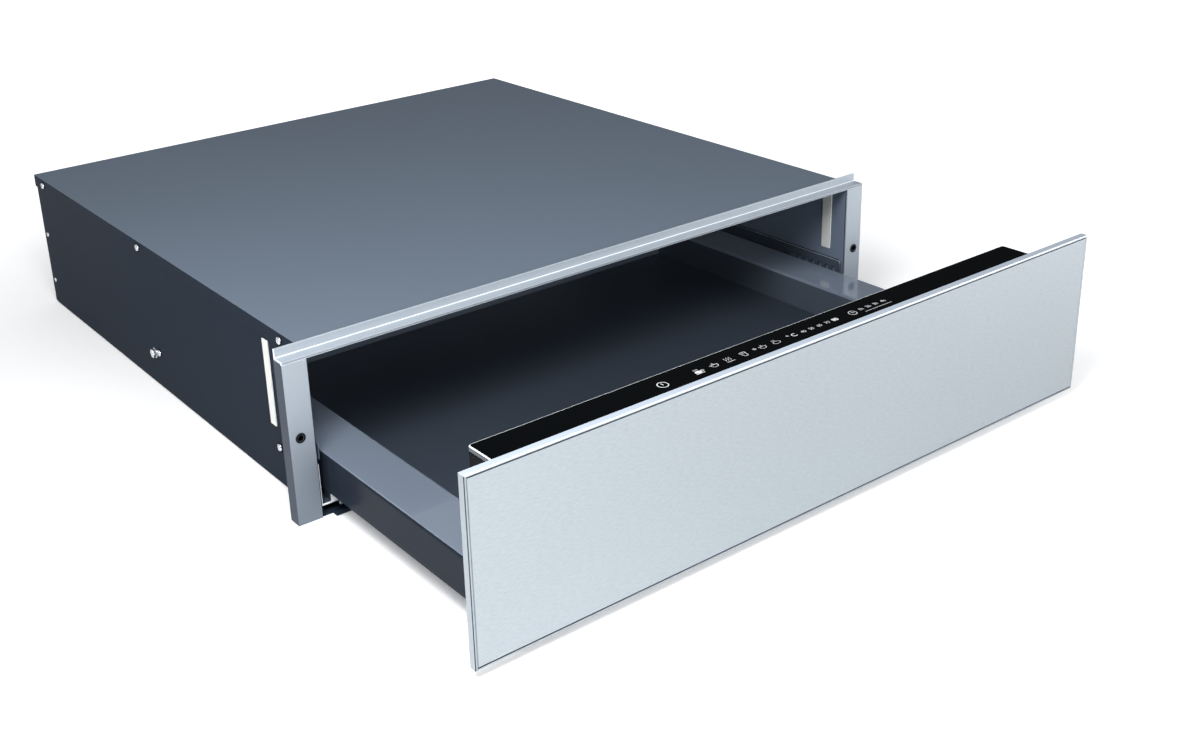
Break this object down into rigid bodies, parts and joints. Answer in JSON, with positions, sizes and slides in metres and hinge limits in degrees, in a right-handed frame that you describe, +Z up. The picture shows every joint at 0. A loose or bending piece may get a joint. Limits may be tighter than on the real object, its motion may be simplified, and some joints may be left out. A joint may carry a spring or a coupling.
{
  "type": "warming_drawer",
  "caption": "Built-in warming drawer: dark steel housing with a light front frame, a pull-out tray on ball slides, a stainless front and a black glass control strip.",
  "frame": {"origin": "on the niche floor, below the middle of the front frame's front face", "axes": "+X to the right as seen from the front, +Y towards the back of the niche, +Z up"},
  "size_m": [0.595, 0.788, 0.14],
  "materials": {
    "housing_paint": "satin dark slate paint",
    "cover_paint": "satin slate paint",
    "frame_satin": "satin anodised",
    "tray_paint": "semi-gloss grey paint",
    "stainless": "fine horizontal brushing",
    "zinc": "bright zinc plate",
    "element_steel": "plain steel",
    "fan_metal": "mill finish",
    "black_plastic": "matt moulded",
    "black_rubber": "matt",
    "panel_filler": "matt",
    "floor_mat": "matt anti-slip",
    "white_plastic": "smooth",
    "circuit_board": "lacquered",
    "control_glass": "polished, printed black from behind"
  },
  "bodies": {
    "housing": {"top_cover": "cover_paint", "left_side_panel": "housing_paint", "right_side_panel": "housing_paint", "base_panel": "housing_paint", "rear_panel": "housing_paint", "frame_top_rail": "frame_satin", "left_frame_post": "frame_satin", "right_frame_post": "frame_satin", "frame_grommets": "black_plastic", "outer_side_strips": "white_plastic", "inner_glide_strips": "white_plastic", "left_guide_rail": "housing_paint", "right_guide_rail": "housing_paint", "cover_screws": "zinc", "slide_bolts": "zinc", "rear_edge_screws": "zinc", "left_slide_brackets": "zinc", "right_slide_brackets": "zinc", "left_cabinet_rail": "zinc", "right_cabinet_rail": "zinc", "rear_partition": "housing_paint", "heater_ring": "element_steel", "motor_bracket": "zinc", "fan_motor": "zinc", "power_board": "circuit_board", "board_components": "black_plastic", "board_spacers": "zinc", "terminal_block": "white_plastic", "cord_gland": "black_plastic", "thermal_cutout": "black_plastic", "latch_body": "white_plastic"},
    "drawer": {"latch_striker": "zinc", "left_drawer_rail": "zinc", "right_drawer_rail": "zinc", "drawer_floor": "tray_paint", "left_drawer_side": "tray_paint", "right_drawer_side": "tray_paint", "drawer_rear_side": "tray_paint", "drawer_mat": "floor_mat", "inner_front": "tray_paint", "front_panel": "stainless", "panel_core": "panel_filler", "panel_back_plate": "zinc", "panel_buffers": "black_rubber", "panel_screws": "zinc", "control_box": "black_plastic", "control_glass": "control_glass", "touch_board": "circuit_board"},
    "left_middle": {"left_middle_rail": "zinc"},
    "right_middle": {"right_middle_rail": "zinc"},
    "left_outer_balls": {"left_outer_cage": "element_steel"},
    "right_outer_balls": {"right_outer_cage": "element_steel"},
    "left_inner_balls": {"left_inner_cage": "element_steel"},
    "right_inner_balls": {"right_inner_cage": "element_steel"},
    "fan_rotor": {"fan_wheel": "fan_metal", "fan_shaft": "element_steel"},
    "latch": {"latch_plunger": "white_plastic"}
  },
  "joints": [
    {"name": "drawer_slide", "type": "slide", "parent": "housing", "child": "drawer", "axis": [0, -1, 0], "range_m": [-0.222, 0.176]},
    {"name": "left_middle_slide", "type": "slide", "parent": "housing", "child": "left_middle", "axis": [0, -1, 0], "range_m": [-0.1115, 0.0885]},
    {"name": "left_outer_ball_roll", "type": "slide", "parent": "housing", "child": "left_outer_balls", "axis": [0, -1, 0], "range_m": [-0.056, 0.0445]},
    {"name": "left_inner_ball_roll", "type": "slide", "parent": "housing", "child": "left_inner_balls", "axis": [0, -1, 0], "range_m": [-0.167, 0.1325]},
    {"name": "right_middle_slide", "type": "slide", "parent": "housing", "child": "right_middle", "axis": [0, -1, 0], "range_m": [-0.1115, 0.0885]},
    {"name": "right_outer_ball_roll", "type": "slide", "parent": "housing", "child": "right_outer_balls", "axis": [0, -1, 0], "range_m": [-0.056, 0.0445]},
    {"name": "right_inner_ball_roll", "type": "slide", "parent": "housing", "child": "right_inner_balls", "axis": [0, -1, 0], "range_m": [-0.167, 0.1325]},
    {"name": "fan_spin", "type": "hinge", "parent": "housing", "child": "fan_rotor", "pos_m": [0, 0.52, 0.0677], "axis": [0, 1, 0], "continuous": true},
    {"name": "latch_push", "type": "slide", "parent": "housing", "child": "latch", "axis": [0, 1, 0], "range_m": [0, 0.0035], "stiffness_N_per_m": 400}
  ],
  "couplings": [
    {"joint": "left_middle_slide", "follows": "drawer_slide", "ratio": 0.5},
    {"joint": "left_outer_ball_roll", "follows": "drawer_slide", "ratio": 0.25},
    {"joint": "left_inner_ball_roll", "follows": "drawer_slide", "ratio": 0.75},
    {"joint": "right_middle_slide", "follows": "drawer_slide", "ratio": 0.5},
    {"joint": "right_outer_ball_roll", "follows": "drawer_slide", "ratio": 0.25},
    {"joint": "right_inner_ball_roll", "follows": "drawer_slide", "ratio": 0.75}
  ]
}
